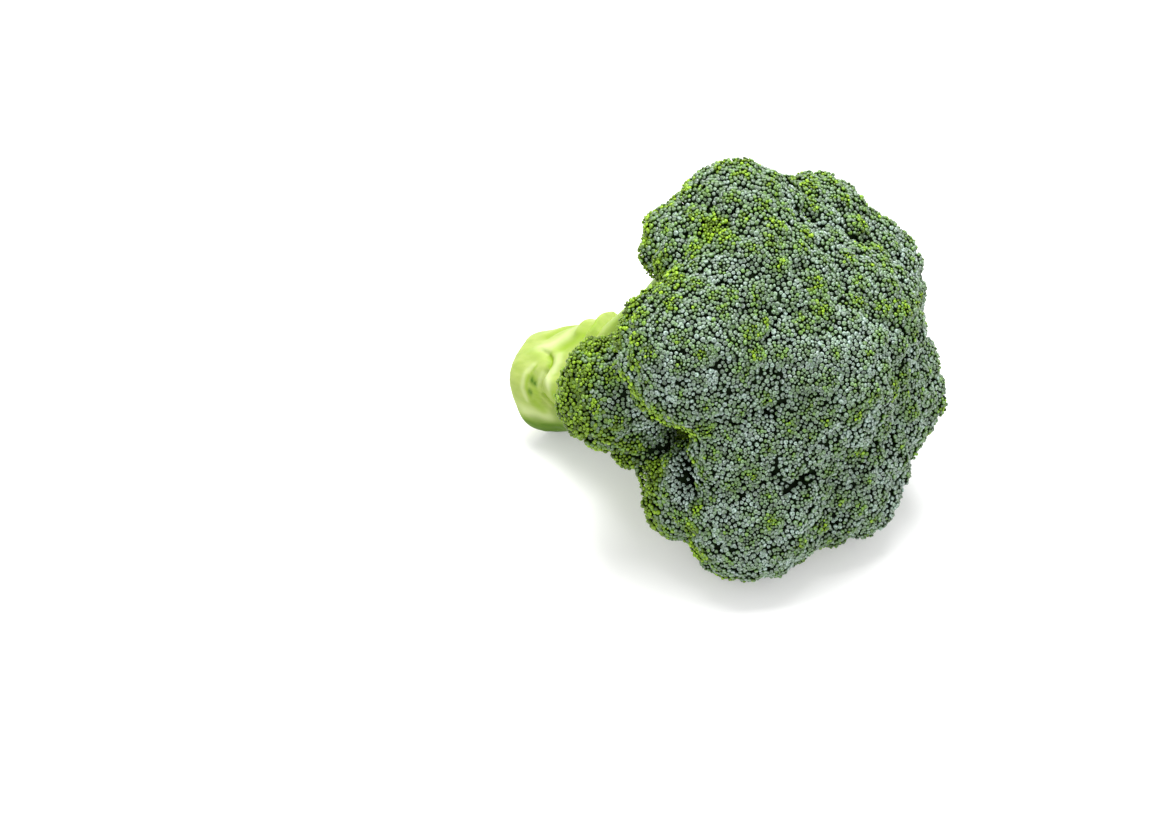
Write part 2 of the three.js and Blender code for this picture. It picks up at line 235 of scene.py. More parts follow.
# a bud's own tone, at random, darkened low on the head as painted shade
tone_and_painted_shade = add_node(bud_skin, "ShaderNodeValToRGB", "Color", Fac=tone, stops=[
    (0.0, "#666666"), (0.5, "#c4c4c4"), (1.0, "#ffffff"),
])
green = add_node(bud_skin, "ShaderNodeMix", 2, MULTIPLY, _0=1.0, _6=green, _7=tone_and_painted_shade)
# painted shade: each bud darkens towards its foot, where its neighbours shade it
depth_shade = add_node(bud_skin, "ShaderNodeValToRGB", "Color", Fac=height, stops=[
    (0.0, "#101a05"), (0.42, "#415920"), (0.58, "#aec392"), (0.74, "#ffffff"),
])
green = add_node(bud_skin, "ShaderNodeMix", 2, MULTIPLY, _0=1.0, _6=green, _7=depth_shade)
print("nodes of the bud's green:", len(bud_skin.node_tree.nodes))

# %% [markdown]
# Wax gathers on the shoulder of a ripe bud and thins out towards its tip, so its share is the
# height's ring times the ripeness. The same pale ring is also a painted highlight, where the
# overhead light falls on a bud. The seams between the sepals are laid over it.

# %% Wax, painted highlight and seams of a bud
# the pale ring is wax and a painted highlight together
WAX_AND_HIGHLIGHT = 0.68  # how much of the green the wax of a ripe bud hides, at most

# wax and painted highlight: a pale ring on the upper shoulder of a ripe bud
wax_and_highlight_ring = add_node(bud_skin, "ShaderNodeValToRGB", "Color", Fac=height, stops=[
    (0.68, "#000000"), (0.88, "#ffffff"), (0.94, "#ffffff"), (1.0, "#707070"),
])
times = {"operation": "MULTIPLY"}
wax_and_highlight = add_node(bud_skin, "ShaderNodeMath", 0, times, _0=wax_and_highlight_ring, _1=ripeness)
wax_and_highlight = add_node(bud_skin, "ShaderNodeMath", 0, times, _0=wax_and_highlight, _1=WAX_AND_HIGHLIGHT)
green = add_node(bud_skin, "ShaderNodeMix", 2, MIX, _0=wax_and_highlight, _6=green, _7=linear("#c4d4cb"))
in_seam = add_node(bud_skin, "ShaderNodeValToRGB", "Color", Fac=seam, stops=[
    (0.1, "#000000"), (1.0, "#e8e8e8"),
])
green = add_node(bud_skin, "ShaderNodeMix", 2, MIX, _0=in_seam, _6=green, _7=linear("#355a14"))
bud_skin.node_tree.links.new(green, shader.inputs["Base Color"])
shader.inputs["Specular IOR Level"].default_value = 0.4
print("nodes with its wax and seams:", len(bud_skin.node_tree.nodes))

# %% [markdown]
# ** The flesh between the buds** lies in shadow, so its colour is painted shade: a near-black
# green, with enough change from place to place that no gap looks painted. **Bud stems** are
# juicy and let a little light through. A pattern's scale is one over the size of its patches on
# the plant.

# %% Flesh and stem materials
FLESH_PATCH, STEM_PATCH = 2.5 * MM, 8.333 * MM

# painted shade: a near-black green stands for the shadow between the buds
flesh, shader = new_material("floret flesh in painted shade", roughness=0.8)
place = add_node(flesh, "ShaderNodeTexCoord", "Object")
patches = add_node(flesh, "ShaderNodeTexNoise", "Fac", Vector=place, Scale=1 / FLESH_PATCH)
green = add_node(flesh, "ShaderNodeValToRGB", "Color", Fac=patches, stops=[
    (0.35, "#070d04"), (0.65, "#12200b"),
])
flesh.node_tree.links.new(green, shader.inputs["Base Color"])
shader.inputs["Specular IOR Level"].default_value = 0.1

juicy_stem, shader = new_material("juicy bud stems", roughness=0.45)
place = add_node(juicy_stem, "ShaderNodeTexCoord", "Object")
patches = add_node(juicy_stem, "ShaderNodeTexNoise", "Fac", Vector=place, Scale=1 / STEM_PATCH)
green = add_node(juicy_stem, "ShaderNodeValToRGB", "Color", Fac=patches, stops=[
    (0.3, "#638424"), (0.7, "#84a03e"),
])
juicy_stem.node_tree.links.new(green, shader.inputs["Base Color"])
shader.inputs["Subsurface Weight"].default_value = 0.2
shader.inputs["Subsurface Radius"].default_value = (0.6, 1.0, 0.25)
shader.inputs["Subsurface Scale"].default_value = 2 * MM
print("flesh patches are", round(FLESH_PATCH / MM, 1), "mm wide")

# %% [markdown]
# ** Stalk skin** is a thin green skin over pale flesh. It is smooth and a little glossy, with
# faint streaks along the stalk. Four marks, painted like those of the buds, say where it is
# pale, from stretched skin and from painted highlights on ridges, where it is greener, in part
# painted shade in its creases, where a vein of a cut leaf ends in a dark dot, and where painted
# shade makes it a deep green: on the underside, which faces down, and on the branches under
# the crown.

# %% Stalk material
STREAK_LENGTH, STREAK_WIDTH, CLOUD = 55.556 * MM, 3.125 * MM, 22.222 * MM
# pale is partly painted highlight, greener partly painted shade in creases, shaded is painted
# shade
STALK_TINTS = ["#b9c48c", "#7a981c", "#36600f", "#4c6c00"]  # pale, greener, vein and shaded

stalk_skin, shader = new_material("smooth stalk skin", roughness=0.42)
place = add_node(stalk_skin, "ShaderNodeTexCoord", "Object")
along = add_node(
    stalk_skin, "ShaderNodeMapping", "Vector", Vector=place, Rotation=(0, LEAN, 0),
    Scale=(1 / STREAK_LENGTH, 1 / STREAK_WIDTH, 1 / STREAK_WIDTH),
)
streaks = add_node(stalk_skin, "ShaderNodeTexNoise", "Fac", Vector=along, Scale=1.0, Detail=4.0)
clouds = add_node(stalk_skin, "ShaderNodeTexNoise", "Fac", Vector=place, Scale=1 / CLOUD)
green = add_node(stalk_skin, "ShaderNodeValToRGB", "Color", Fac=clouds, stops=[
    (0.3, "#8ea04a"), (0.5, "#98a758"), (0.7, "#a5b06c"),
])
streak_shade = add_node(stalk_skin, "ShaderNodeValToRGB", "Color", Fac=streaks, stops=[
    (0.35, "#eaf0dc"), (0.6, "#ffffff"),
])
green = add_node(stalk_skin, "ShaderNodeMix", 2, MULTIPLY, _0=1.0, _6=green, _7=streak_shade)
marks = add_node(stalk_skin, "ShaderNodeAttribute", "Color", {"attribute_name": "stalk_marks"})
parts = add_node(stalk_skin, "ShaderNodeSeparateColor", 0, Color=marks).node.outputs
for mark, tint in zip([*parts[:3], marks.node.outputs["Alpha"]], STALK_TINTS):
    green = add_node(stalk_skin, "ShaderNodeMix", 2, MIX, _0=mark, _6=green, _7=linear(tint))
stalk_skin.node_tree.links.new(green, shader.inputs["Base Color"])
shader.inputs["Subsurface Weight"].default_value = 0.2
shader.inputs["Subsurface Radius"].default_value = (0.7, 1.0, 0.25)
shader.inputs["Subsurface Scale"].default_value = 4 * MM
shader.inputs["Specular IOR Level"].default_value = 0.12
print("nodes of the stalk material:", len(stalk_skin.node_tree.nodes))

# %% [markdown]
# **White paper** lies under the head. It glows a little by itself, because the paper of a
# studio is lit until it is plain white, and only the shadow at the foot of things is left.

# %% Paper material
paper, shader = new_material("white studio paper", roughness=0.9)
shader.inputs["Base Color"].default_value = (0.65, 0.65, 0.65, 1)
shader.inputs["Emission Color"].default_value = (1, 1, 1, 1)
shader.inputs["Emission Strength"].default_value = 0.33
floor.data.materials.append(paper)
print("materials:", sorted(m.name for m in bpy.data.materials if m.use_nodes))

# %% [markdown]
# ## One bud, to copy
#
# A real bud is an egg about 2 mm long on a thin foot, closed by four sepals. At arm's length
# only its round shoulder and the dark star where the sepals meet can be told apart. So a sphere
# with six sides and three rings is enough, if all three rings are spent on the part that
# shows: one round the star, one on the shoulder and one at the widest place. The rest is a
# plain cone. We shape it once in edit mode. It is copied thousands of times, so every face that
# it doesn't need would be paid for thousands of times too.

# %% Helpers to model with


def start_piece(operator, name, **settings):
    """Adds a primitive with nothing else selected, and names it."""
    bpy.ops.object.select_all(action="DESELECT")
    operator(**settings)
    piece = bpy.context.object
    piece.name = name
    return piece


def select_points(piece, test):
    """Selects only the points of a piece, in edit mode, whose place passes a test."""
    bpy.ops.object.mode_set(mode="EDIT")
    bpy.ops.mesh.select_mode(type="VERT")
    bpy.ops.mesh.select_all(action="DESELECT")
    bpy.ops.object.mode_set(mode="OBJECT")
    for vertex in piece.data.vertices:
        vertex.select = test(vertex.co)
    bpy.ops.object.mode_set(mode="EDIT")


def take_shape(piece):
    """Removes a piece, and keeps only its points and its faces, to copy them."""
    points = [tuple(vertex.co) for vertex in piece.data.vertices]
    faces = [tuple(face.vertices) for face in piece.data.polygons]
    bpy.data.objects.remove(piece)
    return points, faces


# %% Model the bud
BUD_RINGS = [  # the height and the radius of each ring, from the tip's star down
    (1.0, 0.44), (0.76, 0.80), (0.10, 1.0),
]
SEAM_DEPTHS = [(0.6, 0.9), (0.84, 0.5), (0.97, 0.1)]  # how far in, and how dark, at each ring
BUD_TOP, BUD_FOOT = 1.0, -1.3
TIP_DIP = 0.2  # how far the star's middle lies below its ring
PARKED = 10  # a finished ring waits this much higher, where no later test picks it
CLOSE = 0.01  # points this near to a height or to the axis count as lying on it


def model_bud(name, sides, rings):
    """A closed bud that points up: its points, its faces, and how deep in a seam each point is."""
    bud = start_piece(
        bpy.ops.mesh.primitive_uv_sphere_add, name, segments=sides, ring_count=len(rings) + 1
    )

    def on_seam(co):
        """True on every other edge, where two sepals meet."""
        return round(math.atan2(co[1], co[0]) * sides / math.tau) % 2 == 1

    heights = sorted({round(v.co.z, 4) for v in bud.data.vertices}, reverse=True)[1:-1]
    seam_depths = SEAM_DEPTHS[-len(rings) :]
    depth_at = {}
    for start, (height, radius), (inset, dark) in zip(heights, rings, seam_depths):
        width = math.sqrt(1 - start**2)
        select_points(bud, lambda co: abs(co.z - start) < CLOSE)
        bpy.ops.transform.resize(value=(radius / width, radius / width, 1))
        bpy.ops.transform.translate(value=(0, 0, height - start + PARKED))
        select_points(bud, lambda co: abs(co.z - height - PARKED) < CLOSE and on_seam(co))
        bpy.ops.transform.resize(value=(inset, inset, 1), center_override=(0, 0, 0))
        depth_at[height] = dark
    select_points(bud, lambda co: co.z > PARKED / 2)
    bpy.ops.transform.translate(value=(0, 0, -PARKED))
    select_points(bud, lambda co: co.xy.length < CLOSE and co.z > 0)
    bpy.ops.transform.translate(value=(0, 0, rings[0][0] - TIP_DIP - 1))
    select_points(bud, lambda co: co.xy.length < CLOSE and co.z < 0)
    bpy.ops.transform.translate(value=(0, 0, BUD_FOOT + 1))
    bpy.ops.object.mode_set(mode="OBJECT")
    points, faces = take_shape(bud)
    seams = []
    for x, y, z in points:
        dark = min(depth_at.items(), key=lambda ring: abs(ring[0] - z))[1]
        at_tip = z > 0 and math.hypot(x, y) < CLOSE
        seams.append(1.0 if at_tip else dark if z > 0 and on_seam((x, y)) else 0.0)
    return points, faces, seams


RIPE_BUD = model_bud("ripe bud", 6, BUD_RINGS)
YOUNG_BUD = model_bud("young bud", 6, [(0.94, 0.45), (0.20, 1.0)])
print("faces of a ripe bud:", len(RIPE_BUD[1]), "and of a young one:", len(YOUNG_BUD[1]))

# %% [markdown]
# ## The florets
#
# The list gives each floret's middle, from the plant's own directions. A floret holds the part
# of the crown that is nearest to its middle, counted from its own radius, which is also how the
# CAD model parts one floret from the next.

# %% The florets' places
FLORETS = {  # turn in degrees, then reach, rise and radius in millimetres
    "floret_face_middle": (-123, 11, 25, 26),
    "floret_face_far": (125, 17, 26, 24.5),
    "floret_face_top": (-170, 41, 9, 24),
    "floret_face_low": (48, 35, 20, 22.5),
    "floret_inner_near": (-73, 34, 6, 20),
    "floret_near": (-126, 51, 0.5, 24),
    "floret_under_near": (-47, 51, -1, 24.6),
    "floret_under_front": (-3, 43.5, 12.5, 21.5),
    "floret_under_far": (40, 50, -5, 22),
    "floret_far": (84, 53, -5, 23),
    "floret_far_upper": (108, 46.5, 14.5, 22),
    "floret_top_far": (134, 54, 8.5, 18),
    "floret_top": (174, 57, 0.5, 20.5),
    "floret_top_back": (-171, 55, -10.3, 17),
    "floret_back_upper": (140, 50, -16, 19),
    "floret_back_far": (75, 46, -28, 16.5),
    "floret_low_near": (-57, 47.5, -19.2, 18.5),
    "floret_side_branch": (-110, 48, -36, 19),
    "floret_side_inner": (-85, 42, -35, 10.5),
}
UPPER_FORK, LOWER_FORK = -50, -76  # the rises between which the stalk forks
BRANCH_RISE = 50  # how far a floret lies above its own fork
UNDERSIDE = 0.5  # depth of a floret below its middle, as a share of its radius


class Floret:
    """A floret's middle and the way it grows."""

    def __init__(self, name):
        turn, reach, rise, radius = FLORETS[name]
        self.name, self.radius = name, radius
        self.middle = on_plant(turn, reach, rise)
        fork = on_plant(0, 0, max(LOWER_FORK, min(UPPER_FORK, rise - BRANCH_RISE)))
        self.axis = (self.middle - fork).normalized()
        self.foot = self.middle - self.axis * UNDERSIDE * radius * MM

    def claim(self, point):
        """How far a point lies outside the floret. It belongs to the one with the least."""
        return (point - self.middle).length_squared - (self.radius * MM) ** 2

    def lowness(self, point, normal):
        """How far a place lies round towards the branch: -1 at the crown, 1 at the branch."""
        outwards = (point - self.middle).normalized()
        return -max(outwards.dot(self.axis), normal.dot(self.axis))


def owner_of(point):
    """The floret that a point of the crown belongs to."""
    return min(florets, key=lambda floret: floret.claim(point))


florets = [Floret(name) for name in FLORETS]
missing = set(FLORETS) ^ (set(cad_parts) - {"stalk"})
print("florets:", len(FLORETS), "not matched:", sorted(missing))

# %% [markdown]
# ## A guide skin over the crown
#
# The buds grow in one unbroken cover, from floret to floret. To place them we need a smooth
# surface that runs over all florets at once. Copies of the solids are fattened until the
# narrow gaps between them close, rebuilt as one skin by a voxel remesh, and smoothed until
# their facets are gone. The skin then shrinks nearly back to the solids, and a lighter
# smoothing takes out the wrinkles that this leaves. It is only a guide: it is measured, and
# then deleted.

# %% Helpers for whole pieces


def apply_modifier(piece, kind, **settings):
    """Adds a modifier with its settings and applies it."""
    bpy.context.view_layer.objects.active = piece
    modifier = piece.modifiers.new(kind.title(), kind)
    for name, value in settings.items():
        setattr(modifier, name, value)
    bpy.ops.object.modifier_apply(modifier=modifier.name)


def join_pieces(pieces, name):
    """Joins pieces into the first, and gives it a name."""
    bpy.ops.object.select_all(action="DESELECT")
    for piece in pieces:
        piece.select_set(True)
    bpy.context.view_layer.objects.active = pieces[0]
    bpy.ops.object.join()
    pieces[0].name = name
    return pieces[0]


def edit_all(operator, **settings):
    """Runs an operator on all points of the active piece, in edit mode."""
    bpy.ops.object.mode_set(mode="EDIT")
    bpy.ops.mesh.select_all(action="SELECT")
    operator(**settings)
    bpy.ops.object.mode_set(mode="OBJECT")


def copy_solids(nodes, name):
    """A copy of some CAD solids as one piece, its loose triangles merged into closed skins."""
    copies = []
    for node in nodes:
        piece = bpy.data.objects.new(node + " copy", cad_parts[node].data.copy())
        bpy.context.scene.collection.objects.link(piece)
        copies.append(piece)
    copied = join_pieces(copies, name)
    edit_all(bpy.ops.mesh.remove_doubles, threshold=0.01 * MM)
    return copied


def surface_of(piece):
    """A piece's surface, to cast rays at and to find the nearest place on."""
    return BVHTree.FromPolygons(
        [vertex.co.copy() for vertex in piece.data.vertices],
        [tuple(face.vertices) for face in piece.data.polygons],
    )


print("faces of the solids:", sum(len(node.data.polygons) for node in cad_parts.values()))

# %% Make the guide skin
SKIN_VOXEL = 1.5  # the edge of a cube
SKIN_CLOSING, SKIN_OUTSIDE = 1.6, 0.6  # how far outside the solids it is made, and ends up
SKIN_SMOOTHING, SKIN_FINISH = 22, 8  # how often it is smoothed, before it shrinks and after

guide = copy_solids(FLORETS, "crown guide")
edit_all(bpy.ops.transform.shrink_fatten, value=SKIN_CLOSING * MM)
apply_modifier(guide, "REMESH", mode="VOXEL", voxel_size=SKIN_VOXEL * MM)
apply_modifier(guide, "SMOOTH", factor=0.5, iterations=SKIN_SMOOTHING)
edit_all(bpy.ops.transform.shrink_fatten, value=(SKIN_OUTSIDE - SKIN_CLOSING) * MM)
apply_modifier(guide, "SMOOTH", factor=0.5, iterations=SKIN_FINISH)
skin_faces = [(face.center.copy(), face.normal.copy()) for face in guide.data.polygons]
skin = surface_of(guide)
bpy.data.objects.remove(guide)
print("faces of the guide skin:", len(skin_faces))

# %% [markdown]
# ## Rosettes of buds
#
# Buds grow in rosettes about 10 mm wide, each a low dome of its own. Their hearts are scattered
# over the skin: a random place is kept unless another heart is already near, which spreads
# them evenly with no rows. No rosette grows on the underside of a floret.

# %% Room on the skin
NEXT = (-1, 0, 1)  # the cube before, the cube itself and the cube after


class Crowd:
    """Round things on the skin, sorted into cubes, so that near neighbours are found fast."""

    def __init__(self, cube):
        self.cube, self.cubes = cube * MM, {}

    def add(self, point, radius):
        key = tuple(math.floor(value / self.cube) for value in point)
        self.cubes.setdefault(key, []).append((point, radius * MM))

    def has_room(self, point, radius, closeness):
        """True if nothing lies nearer than that share of the two radii together."""
        i, j, k = (math.floor(value / self.cube) for value in point)
        for key in ((i + a, j + b, k + c) for a in NEXT for b in NEXT for c in NEXT):
            for other, other_radius in self.cubes.get(key, ()):
                if (point - other).length < closeness * (radius * MM + other_radius):
                    return False
        return True


print("cubes to look in for one place:", len(NEXT) ** 3)

# %% Scatter the rosettes
ROSETTE_GAP = 8.4  # from heart to heart, on average
BUD_LIMIT = 0.5  # how far round towards the branch buds grow

chance = random.Random(11)
mixed_faces = list(skin_faces)
chance.shuffle(mixed_faces)
hearts = []
heart_crowd = Crowd(12)
for point, normal in mixed_faces:
    low = owner_of(point).lowness(point, normal)
    radius = ROSETTE_GAP / 2 * (1 + 0.3 * noise(point / (9 * MM)))
    if low < BUD_LIMIT and heart_crowd.has_room(point, radius, 1):
        heart_crowd.add(point, radius)
        hearts.append((point, normal))
heart_tree = KDTree(len(hearts))
for index, (point, normal) in enumerate(hearts):
    heart_tree.insert(point, index)
heart_tree.balance()
print("rosettes:", len(hearts))

# %% [markdown]
# Ripeness also changes over the whole head. The buds at its outer edge, low on a floret's side
# and low on the head are younger and yellower than the others, in drifts that noise breaks up.
# A few places are listed: riper where a furrow is in shade, younger on a side shoot.

# %% How ripe the buds are
TONED = [  # turn, reach, rise, half width, change of ripeness: shaded furrows and young patches
    (-103, 50, -24, 8, 0.35), (-92, 51, -12, 9, 0.45), (-78, 56, -5, 10, 0.55),
    (-67, 61, -8, 8, 0.4), (-118, 46, -28, 5, -0.6), (-58, 68, -3, 5, -0.35),
    (-166, 66, 8, 6, -0.3),
]


def ripening(point, normal, low):
    """How much riper the buds at a place are than others of their age, or younger if below 0."""
    _, reach, rise = plant_place(point)
    edge = 0.3 + 0.7 * progress(reach, 42, 56)
    edge *= max(0, 0.75 + 1.3 * noise(point / (7 * MM) + Vector((0, 5, 0))))
    change = -edge * (1.6 * max(0, low + 0.35) + 0.9 * max(0, 0.1 - normal.dot(GROWTH)))
    change -= 0.028 * max(0, -14 - rise) + 0.005 * max(0, point.z / MM - 85)
    for *spot, width, more in TONED:
        change += more * near((point - on_plant(*spot)).length / MM, width)
    return change


print("places with a ripeness of their own:", len(TONED))

# %% [markdown]
# Inside a rosette the buds follow the golden angle, as seeds do in a sunflower: each new one is
# turned about 137.5 degrees from the last, which leaves no rows and no gaps. The youngest
# buds, in the rosette's heart, are the smallest and yellowest. A bud belongs to the rosette
# whose heart is nearest, so rosettes meet along narrow furrows, and a last pass over the skin
# fills any gap that is left with a ripe bud.

# %% Domes of the rosettes
ROSETTE_REACH = 5.4  # from its heart to its rim
ROSETTE_RISE = 2.0  # how high its dome stands out of the skin


def skin_lift(point):
    """How far the nearest rosette's dome stands out of the skin at a point, in millimetres."""
    away = heart_tree.find(point)[2] / MM
    swell = 0.9 * noise(point / (7 * MM) + Vector((9, 0, 0)))
    return ROSETTE_RISE * max(-0.3, 1 - (away / ROSETTE_REACH) ** 2) + swell


lifts = [skin_lift(heart) for heart, _ in hearts]
print("mean lift of the hearts:", round(sum(lifts) / len(lifts), 2), "mm")

# %% Helper to set a bud
FOOT_DEPTH = 1.45  # how far under the rosette's dome the middle of a bud lies
BUD_ROOM = 0.63  # how near two buds may be, as a share of their radii together
SMALLER_FROM, SPARSER_FROM = 0.05, 0.25  # how far round towards the branch buds change
LOW_SIZE = 0.85  # a low bud's size, as a share of what it would be higher up
SWAY, UNEVENNESS = 0.2, 0.6  # how much buds differ in direction, and in depth

buds_of = {name: [] for name in FLORETS}
bud_crowd = Crowd(2.8)


def set_bud(place, lean, size, ripe):
    """Puts one bud on the skin near a place, and hands it to the floret that it grows on."""
    point, normal, _, _ = skin.find_nearest(place)
    owner = owner_of(point)
    low = owner.lowness(point, normal)
    if low > BUD_LIMIT or (low > SPARSER_FROM and chance.random() < (low - SPARSER_FROM) * 2.5):
        return
    if low > SMALLER_FROM:
        size *= LOW_SIZE
    if not bud_crowd.has_room(point, size, BUD_ROOM):
        return
    bud_crowd.add(point, size)
    sway = Vector([chance.uniform(-SWAY, SWAY) for _ in range(3)])
    axis = (normal + lean + sway).normalized()
    depth = FOOT_DEPTH - skin_lift(point) + chance.uniform(-UNEVENNESS, UNEVENNESS)
    middle = point - normal * depth * MM
    middle.z = max(middle.z, -BUD_FOOT * size * MM)
    ripe = min(1, max(0, ripe + ripening(point, normal, low)))
    # painted shade: the tone is darker low on the head, on the side shoots in the crown's shadow
    tone = chance.random() * (1 - 0.3 * progress(plant_place(point)[2], -14, -29))
    buds_of[owner.name].append((middle, axis, size, ripe, tone))


print("florets that wait for buds:", len(buds_of))

# %% Place the buds
GOLDEN_ANGLE = math.pi * (3 - math.sqrt(5))
BUD_COVER = 1.08  # the share of the skin that the buds' round outlines cover
MOST_BUDS = 130  # more than any rosette can hold
HEART_BUD, BUD_GROWTH = 0.53, 0.36  # a bud's radius in the heart, and what it gains to the rim
ROSETTE_EDGE = 1.35  # how far past its reach a rosette may still set a bud
FILLER_RADIUS, FILLER_ROOM = 0.7, 0.8  # a gap that is filled has room for this at least

for index, (heart, normal) in enumerate(hearts):
    across = normal.orthogonal().normalized()
    spin = chance.uniform(0, math.tau)
    age = 0.28 * noise(heart / (14 * MM)) + chance.uniform(-0.17, 0.17)
    covered = 0
    for number in range(MOST_BUDS):
        away = math.sqrt(covered)
        if away > ROSETTE_EDGE * ROSETTE_REACH:
            break
        share = min(1, away / ROSETTE_REACH)
        size = (HEART_BUD + BUD_GROWTH * share + 0.35 * age) * chance.uniform(0.78, 1.28)
        covered += size**2 / BUD_COVER
        spoke = Quaternion(normal, spin + number * GOLDEN_ANGLE) @ across
        place = heart + spoke * away * MM
        if heart_tree.find(place)[1] == index:
            ripe = 0.24 + 0.52 * share + age + chance.uniform(-0.28, 0.28)
            set_bud(place, spoke * 0.45 * share, size, ripe)
in_rosettes = sum(map(len, buds_of.values()))
for point, _ in mixed_faces:
    if bud_crowd.has_room(point, FILLER_RADIUS, FILLER_ROOM):
        set_bud(point, Vector(), chance.uniform(0.68, 0.95), chance.uniform(0.45, 0.9))
print("buds in rosettes:", in_rosettes, "and with the fillers:", sum(map(len, buds_of.values())))

# %% [markdown]
# ## The flesh under the buds
#
# A floret's core is what shows between the buds, dark with painted shade. It starts as an
# icosphere, whose points are spread evenly. One ray from the floret's middle finds the guide
# skin, another finds the solid's own wall to its neighbour, and each point moves out to
# whichever is nearer.

# %% Core of a floret
CORE_DEPTH = 2.5  # how far the flesh lies under the domes of the rosettes
CORE_BULGE = 0.6  # the most that it stands out of the guide skin
CORE_OVERLAP = 0.3  # how far it reaches into its neighbour, so that no crack shows


def make_core(floret):
    """The flesh that a floret's buds sit in, dark with painted shade."""
    own = copy_solids([floret.name], "own solid")
    walls = surface_of(own)
    bpy.data.objects.remove(own)
    core = start_piece(
        bpy.ops.mesh.primitive_ico_sphere_add, floret.name + " core", subdivisions=5, radius=1
    )
    for vertex in core.data.vertices:
        direction = vertex.co.normalized()
        wall = walls.ray_cast(floret.middle, direction)[3] or floret.radius * MM
        outside = skin.ray_cast(floret.middle, direction)
        reach = wall + CORE_OVERLAP * MM
        if outside[0]:
            surface = outside[3] + min(CORE_BULGE, skin_lift(outside[0]) - CORE_DEPTH) * MM
            reach = min(reach, surface)
        vertex.co = floret.middle + direction * reach
        vertex.co.z = max(vertex.co.z, 0)
    apply_modifier(core, "DECIMATE", ratio=0.5)
    core.data.materials.append(flesh)
    bpy.ops.object.shade_smooth()
    return core


print("flesh lies", CORE_DEPTH, "mm under the domes of the rosettes")

# %% [markdown]
# The buds are copied by writing their points and faces straight into one mesh for each floret,
# because thousands of separate objects would be slow. The small ones use the plainer shape.

# %% Copy the buds
RIPE_SIZE = 0.72  # a bud with a larger radius is copied from the ripe shape


def new_piece(name, points, faces, material):
    """A smooth piece with one material, from its points and faces."""
    mesh = bpy.data.meshes.new(name)
    mesh.from_pydata(points, [], faces)
    mesh.polygons.foreach_set("use_smooth", [True] * len(faces))
    mesh.materials.append(material)
    piece = bpy.data.objects.new(name, mesh)
    bpy.context.scene.collection.objects.link(piece)
    return piece


def paint(piece, name, marks):
    """Writes four marks for every point of a piece into a colour attribute."""
    attribute = piece.data.color_attributes.new(name, "FLOAT_COLOR", "POINT")
    attribute.data.foreach_set("color", [value for mark in marks for value in mark])


def copy_buds(buds):
    """One mesh with a copy of the modelled bud at every place."""
    points, faces, marks = [], [], []
    for middle, axis, size, ripe, tone in buds:
        shape = RIPE_BUD if size > RIPE_SIZE else YOUNG_BUD
        turn = axis.to_track_quat("Z", "Y") @ Quaternion((0, 0, 1), chance.uniform(0, math.tau))
        place = Matrix.LocRotScale(middle, turn, Vector((size, size, size)) * MM)
        first = len(points)
        for co, seam in zip(shape[0], shape[2]):
            points.append(place @ Vector(co))
            height = (co[2] - BUD_FOOT) / (BUD_TOP - BUD_FOOT)
            marks.append((ripe, tone, height, seam))
        faces += [[first + index for index in face] for face in shape[1]]
    piece = new_piece("buds", points, faces, bud_skin)
    paint(piece, "bud_marks", marks)
    return piece


ripe_buds = sum(bud[2] > RIPE_SIZE for buds in buds_of.values() for bud in buds)
print("buds with the ripe shape:", ripe_buds)

# %% Dress every floret
for floret in florets:
    buds = copy_buds(buds_of[floret.name])
    dressed = join_pieces([buds, make_core(floret)], "buds_of_" + floret.name)
    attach(dressed, "root")
    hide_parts(floret.name)
    print(floret.name, "buds:", len(buds_of[floret.name]))

# %% [markdown]
# ## The stalk
#
# The solid stalk is joined from a body and branches, with a sharp crease at every join. On the
# plant these grow out of one another. A voxel remesh rebuilds the surface from small cubes of
# equal size, and smoothing then melts the creases into soft crotches. This works on a copy,
# whose loose triangles are merged first. Fine cubes are only needed on the bare stalk, which
# gets its folds next, so a decimate modifier thins the branches inside the crown afterwards.

# %% Melt the branches together
STALK_VOXEL = 0.85  # the edge of a cube
BARE_STALK = -60  # the rise where the stalk vanishes among its branches
BRANCH_FACES = 0.3  # the share of a branch's faces that is left

stalk = copy_solids(["stalk"], "stalk_and_branches")
apply_modifier(stalk, "REMESH", mode="VOXEL", voxel_size=STALK_VOXEL * MM)
apply_modifier(stalk, "SMOOTH", factor=0.5, iterations=20)
melted = len(stalk.data.polygons)
branches = stalk.vertex_groups.new(name="branches")
branches.add([
    vertex.index for vertex in stalk.data.vertices if plant_place(vertex.co)[2] > BARE_STALK
], 1, "REPLACE")
apply_modifier(
    stalk, "DECIMATE", ratio=BRANCH_FACES, vertex_group="branches", vertex_group_factor=10,
)
stalk.vertex_groups.clear()
print("faces of the stalk:", melted, "thinned to", len(stalk.data.polygons))

# %% [markdown]
# Leaves were cut off close to the stalk. Each left a scar: an oval of flesh with dark marks, the
# veins that fed the leaf, under a fold of skin like an eyelid. Folds and creases are drawn over
# the stalk as strokes, each a line of places with a height and a width, and every point of
# the mesh is pushed in or out by how near it is to a stroke. This is how a sculpting brush
# works, but a list of strokes can be read, measured and changed.

